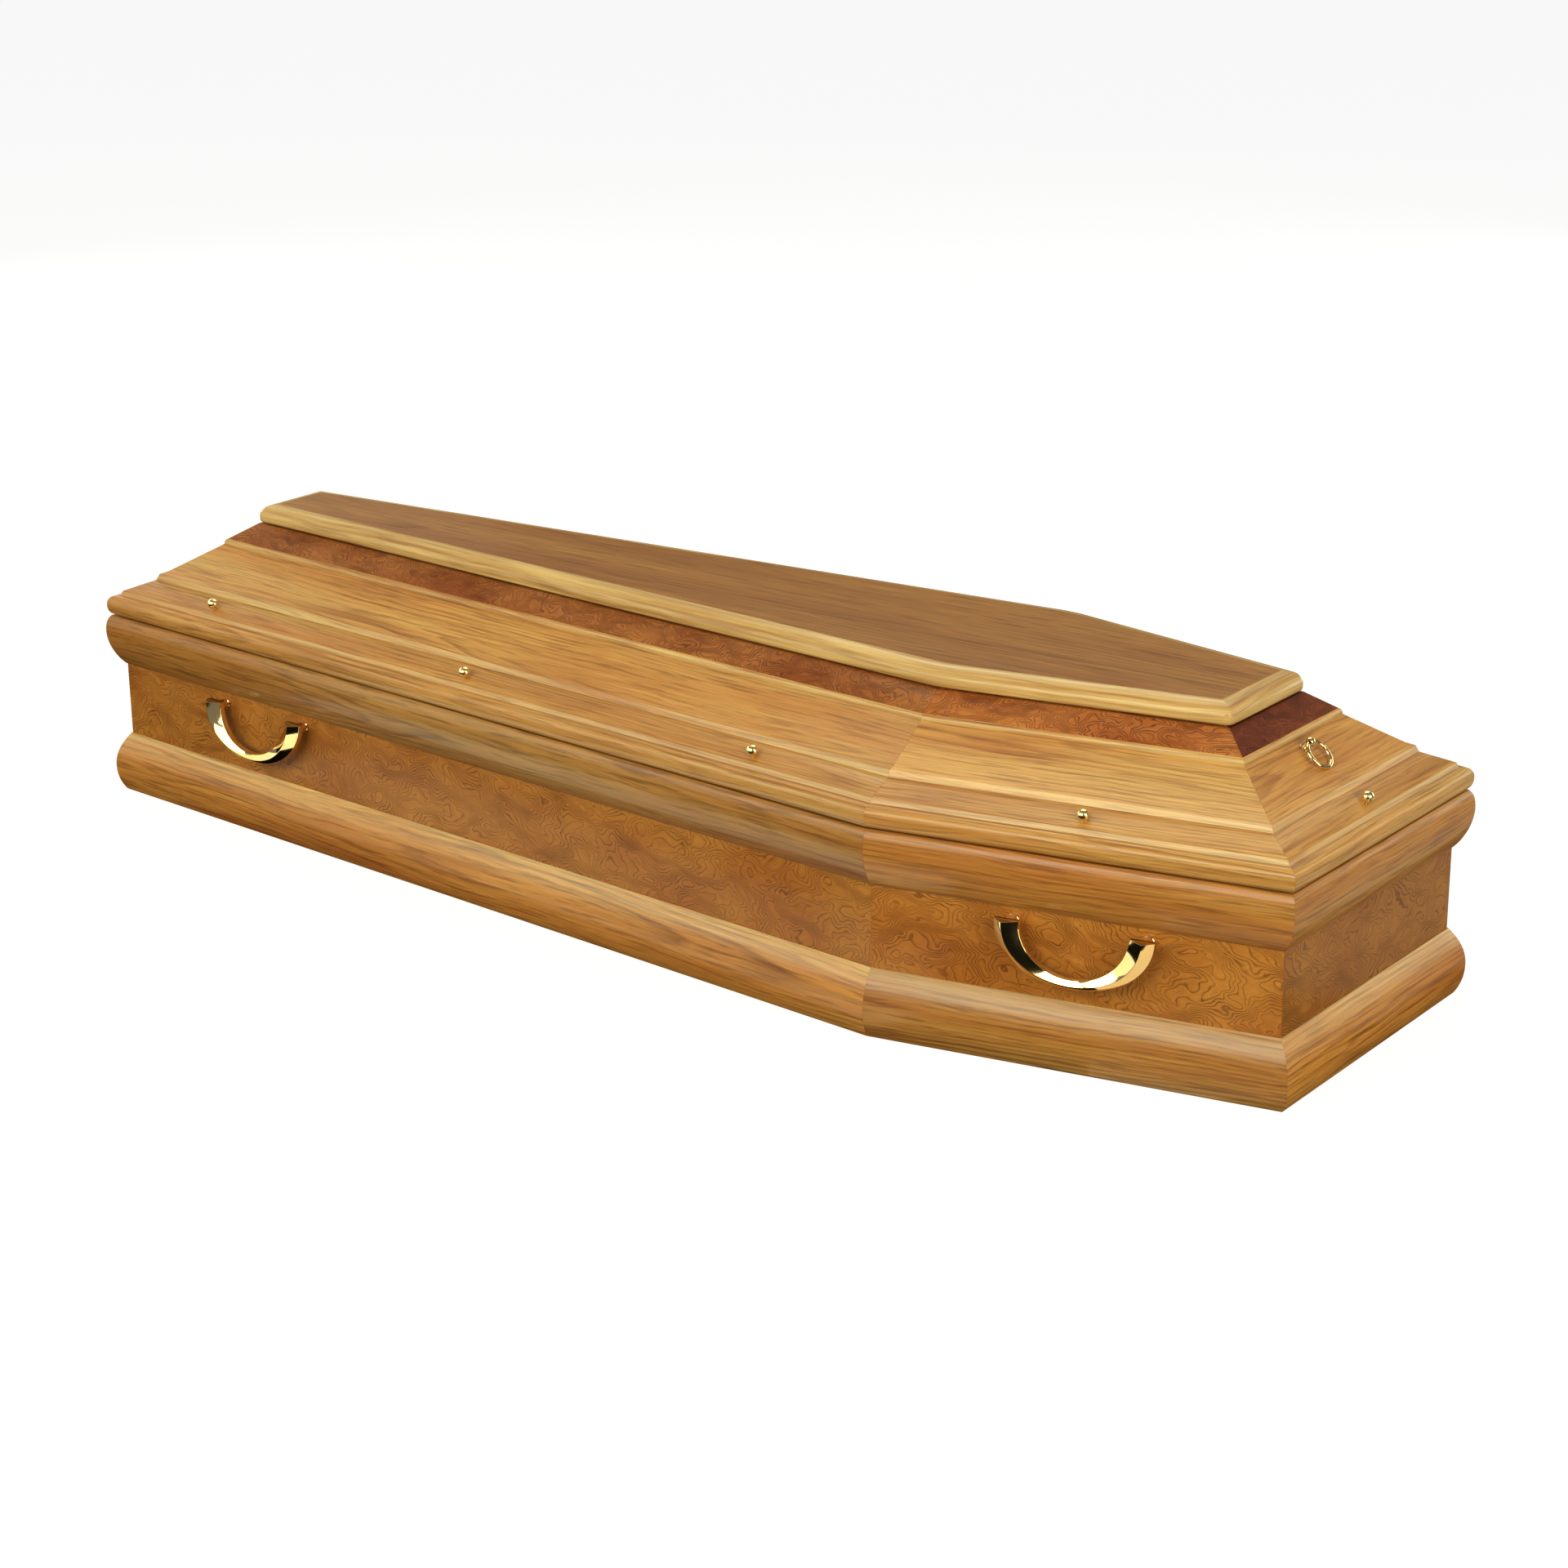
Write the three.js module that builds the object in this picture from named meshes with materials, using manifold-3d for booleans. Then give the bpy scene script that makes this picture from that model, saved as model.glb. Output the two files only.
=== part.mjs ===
// A wooden coffin with a hipped lid: a six-sided case on a bull-nosed base moulding, a lid built up
// of mitred mouldings, four fixed bail handles, knob screws round the lid and a drop ring.
// Millimetres, +Z up, +X towards the head end. The origin is on the floor under the middle.
import * as THREE from "three";
import { mergeVertices } from "three/addons/utils/BufferGeometryUtils.js";
import Module from "manifold-3d";

const wasm = await Module();
wasm.setup();

// Clearances
const JOINT_GAP = 0.3; // between pieces that touch, at mitres too
const RING_PLAY = 1; // round the ring's bar in the hole of its eye

// Plan of the case boards' outer faces
const CASE_LENGTH = 1950;
const FOOT_HALF_WIDTH = 204.5;
const SHOULDER_HALF_WIDTH = 315;
const HEAD_HALF_WIDTH = 215;
const SHOULDER_FROM_FOOT = 1438;

// Case
const CASE_HEIGHT = 272;
const BOARD_THICKNESS = 25;
const BOTTOM_THICKNESS = 22;

// Base moulding
const BASE_HEIGHT = 88;
const BASE_PROUD = 20.5;
const BASE_TOE_PROUD = 10.5;
const BASE_WIDEST_AT = 38;

// Moulding round the top of the case
const RIM_HEIGHT = 75;
const RIM_PROUD = 20.5;
const RIM_LIP_PROUD = 13;
const RIM_WIDEST_BELOW_TOP = 24;
const MOULDING_FEATHER = 1.2; // thickness left where a moulding runs out against the case

// Lid frame: a nose, a small riser and the lower slope
const GROOVE_HEIGHT = 2.2;
const GROOVE_DEPTH = 3;
const NOSE_HEIGHT = 29.3;
const NOSE_PROUD = 17.6;
const NOSE_LIP_PROUD = 13;
const NOSE_SHELF_WIDTH = 4;
const RISER_PROUD = 2;
const RISER_HEIGHT = 6.4;
const RISER_LEAN = 2.4;
const LOWER_SLOPE_RUN = 37;
const LOWER_SLOPE_RISE = 15.4;
const FRAME_SEAT_WIDTH = 24;
const FRAME_THICKNESS = 20;

// Wide slope of the lid, with a strip along its foot and a bead along its top
const STRIP_HEIGHT = 8.5;
const STRIP_LEAN = 3.6;
const TREAD_WIDTH = 10.1;
const TREAD_RISE = 4;
const SLOPE_RUN = 61.5;
const SLOPE_RISE = 38.6;
const SLOPE_THICKNESS = 18;
const BEAD_RUN = 4.5;
const BEAD_RISE = 7.8;

// Burr frieze and top board
const FRIEZE_RUN = 37.7;
const FRIEZE_RISE = 24.4;
const FRIEZE_THICKNESS = 15;
const TOP_BOARD_THICKNESS = 25;
const TOP_BOARD_OVERHANG = 5.4;
const TOP_ROUND_WIDTH = 24;
const TOP_ROUND_HEIGHT = 16;
const TOP_EDGE_FLAT = 2;
const UNDERCUT_WIDTH = 6;

// Bail handles, two on each long side
const LEG_HANDLE_FROM_FOOT = 311;
const HEAD_HANDLE_FROM_SHOULDER = 271;
const HANDLE_BELOW_RIM = 8;
const HANDLE_HALF_SPAN = 85.5;
const HANDLE_DROP = 66;
const HANDLE_STAND_OFF = 15; // of its tips
const HANDLE_LEAN = 8; // how much further out the middle of the bend stands
const HANDLE_TIP = { width: 31.7, side: 7.8, ridge: 11.4 };
const HANDLE_MIDDLE = { width: 12, side: 8, ridge: 4 };
const HANDLE_RIDGE_SHIFT = 0.08; // of the width, towards the outside of the bend
const HANDLE_STEPS = 20;
const POST_DIAMETER = 16;
const POST_BELOW_TIP = 8.5;

// Knob screws along the lower slope
const KNOB_DIAMETER = 15.6;
const KNOB_HEIGHT = 15;
const KNOB_NECK_DIAMETER = 9;
const KNOB_FLANGE_DIAMETER = 9.6;
const KNOB_FLANGE_THICKNESS = 0.8;
const KNOB_UP_SLOPE = 16; // from the foot of the lower slope, along it
const LEG_KNOBS_FROM_FOOT = [195, 720, 1239];
const HEAD_KNOB_FROM_SHOULDER = 267;

// Drop ring and its eye, on the wide slope of the head end
const RING_OUTER_DIAMETER = 42;
const RING_BAR_DIAMETER = 5.2;
const EYE_UP_SLOPE = 55; // from the foot of the wide slope, along it
const EYE_HOLE_HEIGHT = 11;
const EYE_BALL_DIAMETER = 12.4;
const EYE_STEM_DIAMETER = 7.5;
const EYE_FLANGE_DIAMETER = 15;
const EYE_FLANGE_THICKNESS = 1.6;

const CURVE_SEGMENTS = 6;
const ROUND_SIDES = 16;

// Materials
const satinWood = { roughness: 0.38, metalness: 0 };
const polished = { roughness: 0.12, metalness: 1 };
const materials = {
  oak: new THREE.MeshStandardMaterial({ color: 0xc58a48, ...satinWood }),
  burr: new THREE.MeshStandardMaterial({ color: 0xa9672f, ...satinWood }),
  friezeBurr: new THREE.MeshStandardMaterial({ color: 0x9c5128, ...satinWood }),
  bare: new THREE.MeshStandardMaterial({ color: 0xcaa877, roughness: 0.7, metalness: 0 }),
  brass: new THREE.MeshStandardMaterial({ color: 0xd9b45a, ...polished }),
};

const coffin = new THREE.Group();

// Plan: six corners, counter-clockwise seen from above, beginning at the foot on the near side
const footX = -CASE_LENGTH / 2;
const headX = CASE_LENGTH / 2;
const shoulderX = footX + SHOULDER_FROM_FOOT;
const corners = [
  new THREE.Vector2(footX, -FOOT_HALF_WIDTH),
  new THREE.Vector2(shoulderX, -SHOULDER_HALF_WIDTH),
  new THREE.Vector2(headX, -HEAD_HALF_WIDTH),
  new THREE.Vector2(headX, HEAD_HALF_WIDTH),
  new THREE.Vector2(shoulderX, SHOULDER_HALF_WIDTH),
  new THREE.Vector2(footX, FOOT_HALF_WIDTH),
];
const sideNames = ["near_leg", "near_head", "head_end", "far_head", "far_leg", "foot_end"];

const cornerAfter = (side) => corners[(side + 1) % corners.length];
const sideDirection = (side) => cornerAfter(side).clone().sub(corners[side]).normalize();
const sideLength = (side) => cornerAfter(side).distanceTo(corners[side]);
const lengthOf = (sideName) => sideLength(sideNames.indexOf(sideName));

// The way a corner moves in plan when every side moves out by one millimetre
function mitre(corner) {
  const before = sideDirection((corner + corners.length - 1) % corners.length);
  const after = sideDirection(corner);
  const bisector = new THREE.Vector2(before.y + after.y, -before.x - after.x).normalize();
  const cosHalfTurn = Math.cos(Math.acos(before.dot(after)) / 2);
  return { direction: bisector.divideScalar(cosHalfTurn), cosHalfTurn };
}

// A point of the plan at a corner, moved out by an offset
function cornerAt(corner, offset) {
  return corners[corner].clone().addScaledVector(mitre(corner).direction, offset);
}

// A frame on one side: x along the side, y up, z out of the side
function sideFrame(side) {
  const along = sideDirection(side);
  const frame = new THREE.Group();
  const axes = new THREE.Matrix4().makeBasis(
    new THREE.Vector3(along.x, along.y, 0),
    new THREE.Vector3(0, 0, 1),
    new THREE.Vector3(along.y, -along.x, 0),
  );
  frame.setRotationFromMatrix(axes);
  frame.position.set(corners[side].x, corners[side].y, 0);
  coffin.add(frame);
  return frame;
}

function addMesh(parent, name, geometry, material) {
  const mesh = new THREE.Mesh(geometry, materials[material].clone());
  mesh.name = name;
  parent.add(mesh);
  return mesh;
}

// Every vertex of an extrusion of depth one goes where place(x, y, t) sends it
function sweep(shape, steps, place) {
  const settings = { depth: 1, steps, bevelEnabled: false, curveSegments: CURVE_SEGMENTS };
  const geometry = new THREE.ExtrudeGeometry(shape, settings);
  const position = geometry.getAttribute("position");
  for (let i = 0; i < position.count; i += 1) {
    const point = place(position.getX(i), position.getY(i), position.getZ(i));
    position.setXYZ(i, point.x, point.y, point.z);
  }
  geometry.computeVertexNormals();
  return geometry;
}

// A strip along one side, cut to the mitre at both ends. Its profile is drawn with x out of the
// case boards' outer face and y up from the floor.
function mitredStrip(side, profile) {
  const along = sideDirection(side);
  const next = (side + 1) % corners.length;
  const startCut = JOINT_GAP / 2 / mitre(side).cosHalfTurn;
  const endCut = JOINT_GAP / 2 / mitre(next).cosHalfTurn;
  return sweep(profile, 1, (offset, height, t) => {
    const start = cornerAt(side, offset).addScaledVector(along, startCut);
    const end = cornerAt(next, offset).addScaledVector(along, -endCut);
    const plan = end.lerp(start, t);
    return new THREE.Vector3(plan.x, plan.y, height);
  });
}

function ringOfStrips(prefix, profile, material) {
  sideNames.forEach((sideName, side) => {
    addMesh(coffin, `${prefix}_${sideName}`, mitredStrip(side, profile), material);
  });
}

function polygon(points) {
  return new THREE.Shape(points);
}

function outline(offset) {
  return polygon(corners.map((corner, index) => cornerAt(index, offset)));
}

// Where the line through a along p meets the line through b along q
function crossing(a, p, b, q) {
  const distance = b.clone().sub(a).cross(q) / p.cross(q);
  return a.clone().addScaledVector(p, distance);
}

function solidOf(geometry) {
  const bare = geometry.clone();
  bare.deleteAttribute("normal");
  bare.deleteAttribute("uv");
  const merged = mergeVertices(bare);
  const vertProperties = new Float32Array(merged.getAttribute("position").array);
  const triVerts = new Uint32Array(merged.getIndex().array);
  return new wasm.Manifold(new wasm.Mesh({ numProp: 3, vertProperties, triVerts }));
}

function geometryOf(solid) {
  const mesh = solid.getMesh();
  const geometry = new THREE.BufferGeometry();
  geometry.setAttribute("position", new THREE.BufferAttribute(mesh.vertProperties, 3));
  geometry.setIndex(new THREE.BufferAttribute(mesh.triVerts, 1));
  geometry.computeVertexNormals();
  return geometry;
}

// The part of an extrusion between two heights
function slice(geometry, low, high) {
  const reach = 2 * CASE_LENGTH;
  const block = new THREE.BoxGeometry(reach, reach, high - low);
  block.translate(0, 0, (low + high) / 2);
  return solidOf(geometry).intersect(solidOf(block));
}

// Heights of the lid, from its seat on the case upwards
const seatZ = CASE_HEIGHT + JOINT_GAP;
const shelfZ = seatZ + NOSE_HEIGHT;
const riserTopZ = shelfZ + RISER_HEIGHT;
const lowerTopZ = riserTopZ + LOWER_SLOPE_RISE;
const stripTopZ = lowerTopZ + STRIP_HEIGHT;
const slopeFootZ = stripTopZ + TREAD_RISE;
const slopeTopZ = slopeFootZ + SLOPE_RISE;
const beadTopZ = slopeTopZ + BEAD_RISE;
const friezeTopZ = beadTopZ + FRIEZE_RISE;
const topBoardZ = friezeTopZ + JOINT_GAP;

// Offsets of the lid's steps from the case boards' outer face, outwards positive
const riserTop = RISER_PROUD - RISER_LEAN;
const lowerTop = riserTop - LOWER_SLOPE_RUN;
const stripTop = lowerTop - STRIP_LEAN;
const slopeFoot = stripTop - TREAD_WIDTH;
const slopeTop = slopeFoot - SLOPE_RUN;
const beadTop = slopeTop - BEAD_RUN;
const friezeTop = beadTop - FRIEZE_RUN;

// The two slopes in the plane of a profile: a point at the foot, the way up and the way out
function slopeLine(foot, footZ, run, rise) {
  const up = new THREE.Vector2(-run, rise).normalize();
  return { foot: new THREE.Vector2(foot, footZ), up, out: new THREE.Vector2(up.y, -up.x) };
}
const lowerSlope = slopeLine(riserTop, riserTopZ, LOWER_SLOPE_RUN, LOWER_SLOPE_RISE);
const wideSlope = slopeLine(slopeFoot, slopeFootZ, SLOPE_RUN, SLOPE_RISE);
const friezeSlope = slopeLine(beadTop, beadTopZ, FRIEZE_RUN, FRIEZE_RISE);

// Case: bottom board, six side boards and two mouldings
function bottomBoard() {
  const shape = outline(-BOARD_THICKNESS - JOINT_GAP);
  return new THREE.ExtrudeGeometry(shape, { depth: BOTTOM_THICKNESS, bevelEnabled: false });
}

function caseBoardProfile() {
  return polygon([
    new THREE.Vector2(-BOARD_THICKNESS, 0),
    new THREE.Vector2(0, 0),
    new THREE.Vector2(0, CASE_HEIGHT),
    new THREE.Vector2(-BOARD_THICKNESS, CASE_HEIGHT),
  ]);
}

function baseProfile() {
  const back = JOINT_GAP;
  const feather = back + MOULDING_FEATHER;
  const widest = BASE_WIDEST_AT;
  const shape = new THREE.Shape();
  shape.moveTo(back, 0);
  shape.lineTo(BASE_TOE_PROUD, 0);
  shape.bezierCurveTo(
    BASE_PROUD * 0.8, widest * 0.25, BASE_PROUD, widest * 0.55, BASE_PROUD, widest,
  );
  shape.bezierCurveTo(
    BASE_PROUD, widest + (BASE_HEIGHT - widest) * 0.4,
    BASE_PROUD * 0.62, BASE_HEIGHT - (BASE_HEIGHT - widest) * 0.3,
    feather, BASE_HEIGHT,
  );
  shape.lineTo(back, BASE_HEIGHT);
  return shape;
}

function rimProfile() {
  const back = JOINT_GAP;
  const feather = back + MOULDING_FEATHER;
  const bottom = CASE_HEIGHT - RIM_HEIGHT;
  const widest = CASE_HEIGHT - RIM_WIDEST_BELOW_TOP;
  const shape = new THREE.Shape();
  shape.moveTo(back, bottom);
  shape.lineTo(feather, bottom);
  shape.bezierCurveTo(
    RIM_PROUD * 0.55, bottom + (widest - bottom) * 0.2,
    RIM_PROUD, bottom + (widest - bottom) * 0.6,
    RIM_PROUD, widest,
  );
  shape.bezierCurveTo(
    RIM_PROUD, widest + RIM_WIDEST_BELOW_TOP * 0.55,
    RIM_PROUD * 0.85, widest + RIM_WIDEST_BELOW_TOP * 0.85,
    RIM_LIP_PROUD, CASE_HEIGHT,
  );
  shape.lineTo(back, CASE_HEIGHT);
  return shape;
}

// Lid: frame, wide slope, frieze and top board
function frameProfile() {
  const lipZ = seatZ + GROOVE_HEIGHT;
  const middleZ = (lipZ + shelfZ) / 2;
  const innerTop = lowerTop - FRAME_SEAT_WIDTH;
  const inner = lowerSlope.foot.clone().addScaledVector(lowerSlope.out, -FRAME_THICKNESS);
  const across = new THREE.Vector2(0, 1);
  const innerFoot = crossing(new THREE.Vector2(-BOARD_THICKNESS, 0), across, inner, lowerSlope.up);
  const innerHead = crossing(new THREE.Vector2(innerTop, 0), across, inner, lowerSlope.up);
  const shape = new THREE.Shape();
  shape.moveTo(-BOARD_THICKNESS, seatZ);
  shape.lineTo(NOSE_LIP_PROUD - GROOVE_DEPTH, seatZ);
  shape.lineTo(NOSE_LIP_PROUD - GROOVE_DEPTH, lipZ);
  shape.lineTo(NOSE_LIP_PROUD, lipZ);
  shape.quadraticCurveTo(NOSE_PROUD, lipZ + (middleZ - lipZ) * 0.3, NOSE_PROUD, middleZ);
  shape.bezierCurveTo(
    NOSE_PROUD, middleZ + (shelfZ - middleZ) * 0.6,
    NOSE_LIP_PROUD, shelfZ,
    RISER_PROUD + NOSE_SHELF_WIDTH, shelfZ,
  );
  shape.lineTo(RISER_PROUD, shelfZ);
  shape.lineTo(riserTop, riserTopZ);
  shape.lineTo(lowerTop, lowerTopZ);
  shape.lineTo(innerTop, lowerTopZ);
  shape.lineTo(innerHead.x, innerHead.y);
  shape.lineTo(innerFoot.x, innerFoot.y);
  return shape;
}

function slopeProfile() {
  const seat = lowerTopZ + JOINT_GAP;
  const level = new THREE.Vector2(1, 0);
  const underFoot = wideSlope.foot.clone().addScaledVector(wideSlope.out, -SLOPE_THICKNESS);
  const top = new THREE.Vector2(beadTop, beadTopZ);
  const underSeat = crossing(new THREE.Vector2(0, seat), level, underFoot, wideSlope.up);
  const underTop = crossing(top, wideSlope.out, underFoot, wideSlope.up);
  const shape = new THREE.Shape();
  shape.moveTo(lowerTop, seat);
  shape.lineTo(stripTop, stripTopZ);
  shape.lineTo(slopeFoot, slopeFootZ);
  shape.lineTo(slopeTop, slopeTopZ);
  shape.quadraticCurveTo(slopeTop, beadTopZ - BEAD_RISE * 0.2, beadTop, beadTopZ);
  shape.lineTo(underTop.x, underTop.y);
  shape.lineTo(underSeat.x, underSeat.y);
  return shape;
}

function friezeProfile() {
  const level = new THREE.Vector2(1, 0);
  const top = new THREE.Vector2(friezeTop, friezeTopZ);
  const joint = new THREE.Vector2(beadTop, beadTopZ).addScaledVector(wideSlope.up, JOINT_GAP);
  const under = friezeSlope.foot.clone().addScaledVector(friezeSlope.out, -FRIEZE_THICKNESS);
  return polygon([
    joint,
    top,
    crossing(top, level, under, friezeSlope.up),
    crossing(joint, wideSlope.out, under, friezeSlope.up),
  ]);
}

// The top board is rounded over its edge in a flat quarter ellipse and cut back underneath
function topBoard() {
  const nose = friezeTop + TOP_BOARD_OVERHANG;
  const undercutHeight = TOP_BOARD_THICKNESS - TOP_ROUND_HEIGHT - TOP_EDGE_FLAT;
  const halves = [
    { width: UNDERCUT_WIDTH, height: undercutHeight, low: 0, high: undercutHeight + TOP_EDGE_FLAT / 2 },
    {
      width: TOP_ROUND_WIDTH,
      height: TOP_ROUND_HEIGHT,
      low: undercutHeight + TOP_EDGE_FLAT / 2,
      high: TOP_BOARD_THICKNESS,
    },
  ];
  const [lower, upper] = halves.map(({ width, height, low, high }) => {
    const slab = new THREE.ExtrudeGeometry(outline(nose - width), {
      depth: TOP_EDGE_FLAT,
      bevelSize: width,
      bevelThickness: height,
      bevelSegments: CURVE_SEGMENTS,
    });
    slab.translate(0, 0, undercutHeight);
    return slice(slab, low, high);
  });
  const board = geometryOf(lower.add(upper));
  board.translate(0, 0, topBoardZ);
  return board;
}

// Handle: a U of ridged section that widens towards its tips and leans out, on two round posts
function handle() {
  const section = polygon([
    new THREE.Vector2(-0.5, 0),
    new THREE.Vector2(0.5, 0),
    new THREE.Vector2(0.5, 1),
    new THREE.Vector2(HANDLE_RIDGE_SHIFT, 2),
    new THREE.Vector2(-0.5, 1),
  ]);
  const bar = sweep(section, HANDLE_STEPS, (across, layer, t) => {
    const angle = Math.PI * (1 - t);
    const tipShare = Math.cos(angle) ** 2;
    const mix = (key) => THREE.MathUtils.lerp(HANDLE_MIDDLE[key], HANDLE_TIP[key], tipShare);
    const cos = Math.cos(angle);
    const sin = Math.sin(angle);
    const outward = new THREE.Vector2(-HANDLE_DROP * cos, -HANDLE_HALF_SPAN * sin).normalize();
    const centre = new THREE.Vector2(-HANDLE_HALF_SPAN * cos, -HANDLE_DROP * sin);
    const point = centre.addScaledVector(outward, across * mix("width"));
    const depth = Math.min(layer, 1) * mix("side") + Math.max(layer - 1, 0) * mix("ridge");
    const back = HANDLE_STAND_OFF + HANDLE_LEAN * sin;
    return new THREE.Vector3(point.x, point.y, back + depth);
  });
  const intoBar = HANDLE_TIP.side / 2;
  const postLength = HANDLE_STAND_OFF + intoBar - JOINT_GAP;
  const posts = [-1, 1].map((end) => {
    const post = new THREE.CylinderGeometry(
      POST_DIAMETER / 2, POST_DIAMETER / 2, postLength, ROUND_SIDES,
    );
    post.rotateX(Math.PI / 2);
    post.translate(end * HANDLE_HALF_SPAN, -POST_BELOW_TIP, JOINT_GAP + postLength / 2);
    return solidOf(post);
  });
  return geometryOf(solidOf(bar).add(posts[0]).add(posts[1]));
}

function addHandles(frames) {
  const tipHeight = CASE_HEIGHT - RIM_HEIGHT - HANDLE_BELOW_RIM;
  const places = {
    near_leg: LEG_HANDLE_FROM_FOOT,
    near_head: HEAD_HANDLE_FROM_SHOULDER,
    far_head: lengthOf("far_head") - HEAD_HANDLE_FROM_SHOULDER,
    far_leg: lengthOf("far_leg") - LEG_HANDLE_FROM_FOOT,
  };
  for (const [sideName, along] of Object.entries(places)) {
    const mesh = addMesh(frames[sideName], `handle_${sideName}`, handle(), "brass");
    mesh.position.set(along, tipHeight, 0);
  }
}

// A round of half-profile points, closed on its axis
function turned(points) {
  const profile = points.map(([radius, height]) => new THREE.Vector2(radius, height));
  return new THREE.LatheGeometry(profile, ROUND_SIDES);
}

// A ball on a neck on a flange, seen from the side, from the seat upwards
function knobProfile(flangeDiameter, flangeThickness, neckDiameter, ballDiameter, ballCentre) {
  const radius = ballDiameter / 2;
  const neck = neckDiameter / 2;
  const start = Math.asin(neck / radius);
  const ballSteps = CURVE_SEGMENTS;
  const profile = [
    [0, 0],
    [flangeDiameter / 2, 0],
    [flangeDiameter / 2, flangeThickness],
    [neck, flangeThickness],
  ];
  for (let i = 0; i < ballSteps; i += 1) {
    const angle = start + ((Math.PI - start) * i) / ballSteps;
    profile.push([radius * Math.sin(angle), ballCentre - radius * Math.cos(angle)]);
  }
  profile.push([0, ballCentre + radius]);
  return profile;
}

// A group whose y axis stands square on a slope, its origin one gap above the surface
function onSlope(frame, slope, along, upSlope) {
  const seat = slope.foot.clone().addScaledVector(slope.up, upSlope);
  seat.addScaledVector(slope.out, JOINT_GAP);
  const stand = new THREE.Group();
  stand.position.set(along, seat.y, seat.x);
  stand.rotation.x = Math.atan2(slope.out.x, slope.out.y);
  frame.add(stand);
  return stand;
}

function addKnobs(frames) {
  const places = [];
  LEG_KNOBS_FROM_FOOT.forEach((distance, index) => {
    places.push([`near_leg_${index + 1}`, "near_leg", distance]);
    places.push([`far_leg_${index + 1}`, "far_leg", lengthOf("far_leg") - distance]);
  });
  places.push(["near_head", "near_head", HEAD_KNOB_FROM_SHOULDER]);
  places.push(["far_head", "far_head", lengthOf("far_head") - HEAD_KNOB_FROM_SHOULDER]);
  places.push(["head_end", "head_end", lengthOf("head_end") / 2]);
  places.push(["foot_end", "foot_end", lengthOf("foot_end") / 2]);
  const profile = knobProfile(
    KNOB_FLANGE_DIAMETER, KNOB_FLANGE_THICKNESS, KNOB_NECK_DIAMETER,
    KNOB_DIAMETER, KNOB_HEIGHT - KNOB_DIAMETER / 2,
  );
  for (const [name, sideName, along] of places) {
    const stand = onSlope(frames[sideName], lowerSlope, along, KNOB_UP_SLOPE);
    addMesh(stand, `knob_screw_${name}`, turned(profile), "brass");
  }
}

// The ring hangs from the hole of its eye and its free end lies on the slope
function addDropRing(frames) {
  const barRadius = RING_BAR_DIAMETER / 2;
  const ringRadius = RING_OUTER_DIAMETER / 2 - barRadius;
  const stand = onSlope(frames.head_end, wideSlope, lengthOf("head_end") / 2, EYE_UP_SLOPE);
  const profile = knobProfile(
    EYE_FLANGE_DIAMETER, EYE_FLANGE_THICKNESS, EYE_STEM_DIAMETER, EYE_BALL_DIAMETER, EYE_HOLE_HEIGHT,
  );
  const holeRadius = barRadius + RING_PLAY;
  const hole = new THREE.CylinderGeometry(
    holeRadius, holeRadius, 2 * EYE_BALL_DIAMETER, ROUND_SIDES,
  );
  hole.rotateZ(Math.PI / 2);
  hole.translate(0, EYE_HOLE_HEIGHT, 0);
  const eye = solidOf(turned(profile)).subtract(solidOf(hole));
  addMesh(stand, "ring_eye", geometryOf(eye), "brass");

  const droop = Math.asin((EYE_HOLE_HEIGHT - barRadius) / (2 * ringRadius));
  const ring = new THREE.TorusGeometry(ringRadius, barRadius, ROUND_SIDES / 2, 2 * ROUND_SIDES);
  ring.rotateX(Math.PI / 2);
  ring.translate(0, 0, ringRadius);
  const hung = addMesh(stand, "drop_ring", ring, "brass");
  hung.position.y = EYE_HOLE_HEIGHT;
  hung.rotation.x = droop;
}

addMesh(coffin, "case_bottom", bottomBoard(), "bare");
ringOfStrips("case_board", caseBoardProfile(), "burr");
ringOfStrips("base_moulding", baseProfile(), "oak");
ringOfStrips("case_rim", rimProfile(), "oak");
ringOfStrips("lid_frame", frameProfile(), "oak");
ringOfStrips("lid_slope", slopeProfile(), "oak");
ringOfStrips("lid_frieze", friezeProfile(), "friezeBurr");
addMesh(coffin, "lid_top", topBoard(), "oak");

const frames = Object.fromEntries(sideNames.map((name, side) => [name, sideFrame(side)]));
addHandles(frames);
addKnobs(frames);
addDropRing(frames);

export default coffin;
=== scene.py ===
import math

import bmesh
import bpy
from mathutils import Matrix, Vector

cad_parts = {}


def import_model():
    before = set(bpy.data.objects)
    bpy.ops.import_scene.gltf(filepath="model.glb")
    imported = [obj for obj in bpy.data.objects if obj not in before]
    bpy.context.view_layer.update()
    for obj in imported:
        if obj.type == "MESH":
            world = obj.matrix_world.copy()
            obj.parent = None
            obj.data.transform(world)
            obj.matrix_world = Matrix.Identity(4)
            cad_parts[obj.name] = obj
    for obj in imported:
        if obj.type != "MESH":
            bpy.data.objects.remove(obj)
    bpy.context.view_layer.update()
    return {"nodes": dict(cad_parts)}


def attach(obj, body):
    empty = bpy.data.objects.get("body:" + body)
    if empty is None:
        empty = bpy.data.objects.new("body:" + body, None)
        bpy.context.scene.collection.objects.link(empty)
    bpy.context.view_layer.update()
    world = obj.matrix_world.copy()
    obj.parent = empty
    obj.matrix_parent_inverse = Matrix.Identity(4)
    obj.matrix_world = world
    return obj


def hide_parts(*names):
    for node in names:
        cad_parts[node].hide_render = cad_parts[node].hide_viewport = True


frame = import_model()

# Metres in a millimetre, and the gap in millimetres between pieces that only touch
MM = 0.001
GAP = 0.3

# Plan of the case boards' outer faces, in millimetres
CORNERS = [Vector(xy) for xy in (
    (-975, -204.5), (463, -315), (975, -215), (975, 215), (463, 315), (-975, 204.5),
)]
SIDES = ["near_leg", "near_head", "head_end", "far_head", "far_leg", "foot_end"]

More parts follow.
